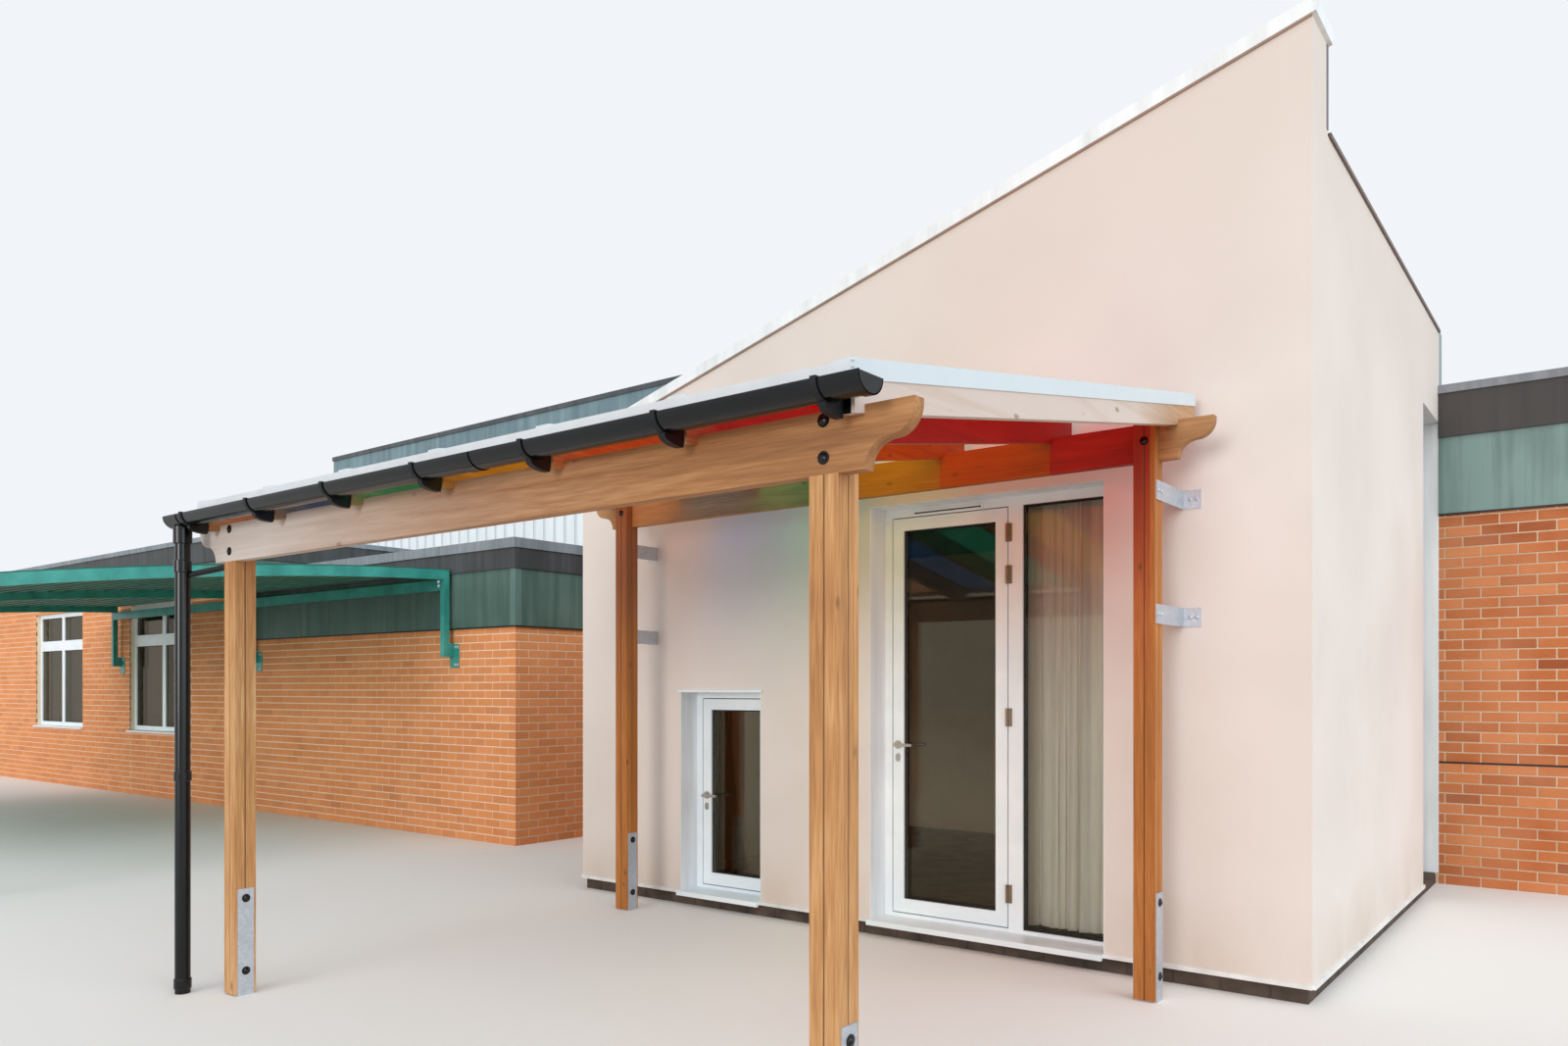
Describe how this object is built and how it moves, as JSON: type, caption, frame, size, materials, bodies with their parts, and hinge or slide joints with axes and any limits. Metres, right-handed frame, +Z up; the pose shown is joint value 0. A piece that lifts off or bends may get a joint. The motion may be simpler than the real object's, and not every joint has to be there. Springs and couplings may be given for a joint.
{
  "type": "school classroom block with timber canopy",
  "caption": "Rendered classroom block with a raking front wall, glazed doors and a post-and-beam canopy with coloured roof sheets, among flat-roofed brick wings, one with a bowed green canopy.",
  "frame": {"origin": "on the ground under the middle of the rendered block, on the underside of its base", "axes": "+X along the front wall towards the tall corner, +Y into the building, +Z up"},
  "size_m": [22.75, 12.1375, 5.054],
  "materials": {
    "render": "matt through-coloured render",
    "plinth": "rough dark brick",
    "roof_felt": "matt grey roofing",
    "pale_metal": "satin pale grey coated metal",
    "blue_grey_metal": "satin blue-grey coated metal",
    "brown_trim": "satin",
    "white_frame": "smooth white coated aluminium",
    "door_glass": "clear double glazing",
    "handle_steel": "satin",
    "timber": "stained softwood",
    "canopy_sheet": "coloured translucent sheets, one hue a bay",
    "canopy_metal": "mill finish, pale",
    "black_plastic": "gloss black",
    "galvanised": "galvanised",
    "brick": "orange-red facing brick, pale joints",
    "green_panel": "satin grey-green",
    "brown_fascia": "dark brown coated metal",
    "concrete": "plain concrete",
    "pale_cladding": "satin near-white profiled cladding",
    "green_metal": "satin bright green",
    "green_sheet": "dark green ribbed sheet"
  },
  "bodies": {
    "building": {"front_wall_left": "render", "front_wall_over_small_door": "render", "front_wall_middle": "render", "front_wall_over_main_door": "render", "front_wall_right": "render", "side_wall_left": "render", "side_wall_right": "render", "side_wall_over_slot": "render", "block_base": "plinth", "block_roof": "roof_felt", "front_coping": "pale_metal", "side_wall_trim": "brown_trim", "render_bead": "pale_metal", "rear_upstand": "blue_grey_metal", "main_door_frame": "white_frame", "small_door_frame": "white_frame", "slot_window_frame": "white_frame", "fixed_panes": "door_glass", "reveal_linings": "pale_metal", "door_sills": "white_frame", "door_hinges": "handle_steel", "canopy_front_posts": "timber", "canopy_back_posts": "timber", "canopy_front_beam": "timber", "canopy_wall_beam": "timber", "canopy_rafters": "timber", "canopy_roof_sheets": "canopy_sheet", "canopy_glazing_bars": "canopy_metal", "canopy_side_flashings": "canopy_metal", "canopy_gutter": "black_plastic", "canopy_downpipe": "black_plastic", "gutter_clips": "black_plastic", "canopy_wall_brackets": "galvanised", "post_shoes": "galvanised", "wing_front_wall": "brick", "wing_left_wall": "brick", "wing_right_wall": "brick", "wing_back_wall": "brick", "wing_roof": "roof_felt", "wing_floor": "concrete", "hall_walls": "pale_cladding", "left_front_walls": "brick", "left_cross_walls": "brick", "left_back_walls": "brick", "left_window_frames": "white_frame", "left_window_panes": "door_glass", "green_canopy_rafters": "green_metal", "green_canopy_beams": "green_metal", "green_canopy_legs": "green_metal", "green_canopy_posts": "green_metal", "green_canopy_sheets": "green_sheet", "wing_green_band": "green_panel", "wing_brown_fascia": "brown_fascia", "wing_coping": "pale_metal"},
    "main_door": {"main_door_leaf": "white_frame", "main_door_pane": "door_glass", "main_door_handles": "handle_steel"},
    "small_door": {"small_door_leaf": "white_frame", "small_door_pane": "door_glass", "small_door_handles": "handle_steel"}
  },
  "joints": [
    {"name": "main_door_swing", "type": "hinge", "parent": "building", "child": "main_door", "pos_m": [0.842, -1.8433, 1.2], "axis": [0, 0, 1], "range_deg": [0, 95]},
    {"name": "small_door_swing", "type": "hinge", "parent": "building", "child": "small_door", "pos_m": [-0.839, -1.8433, 0.7], "axis": [0, 0, 1], "range_deg": [0, 90]}
  ]
}
